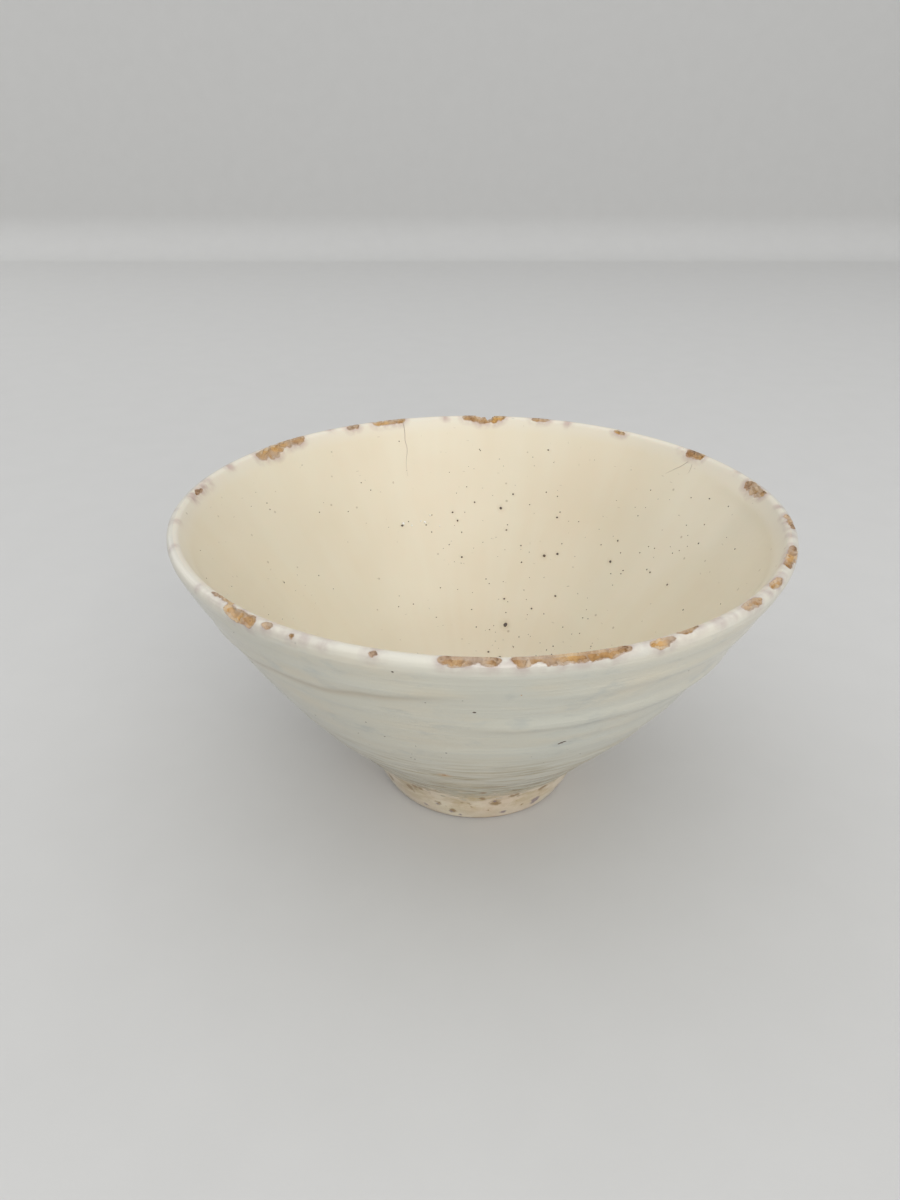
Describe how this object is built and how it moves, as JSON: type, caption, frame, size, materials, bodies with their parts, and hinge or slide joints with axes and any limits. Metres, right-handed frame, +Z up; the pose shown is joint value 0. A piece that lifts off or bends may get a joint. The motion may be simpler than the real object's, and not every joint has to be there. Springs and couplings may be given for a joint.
{
  "type": "matcha bowl",
  "caption": "Flaring thrown stoneware tea bowl on a turned foot ring, with slip and clear glaze coats inside and out and a chipped rim, for whisking powdered tea.",
  "frame": {"origin": "middle of the foot, on the surface that the bowl stands on", "axes": "+Z up along the axis of the wheel that the bowl was thrown on; the bowl is round about Z, and +X is only a reference direction"},
  "size_m": [0.1406, 0.1406, 0.0744],
  "materials": {
    "stoneware": "fired stoneware, dry and sandy, tan to brown",
    "warm_glaze": "glossy clear glaze over warm cream slip, with iron specks",
    "cool_glaze": "satin clear glaze over grey-white slip, with fine turning lines"
  },
  "bodies": {
    "root": {"clay_body": "stoneware", "inside_coat": "warm_glaze", "outside_coat": "cool_glaze", "foot_well_coat": "cool_glaze"}
  },
  "joints": []
}
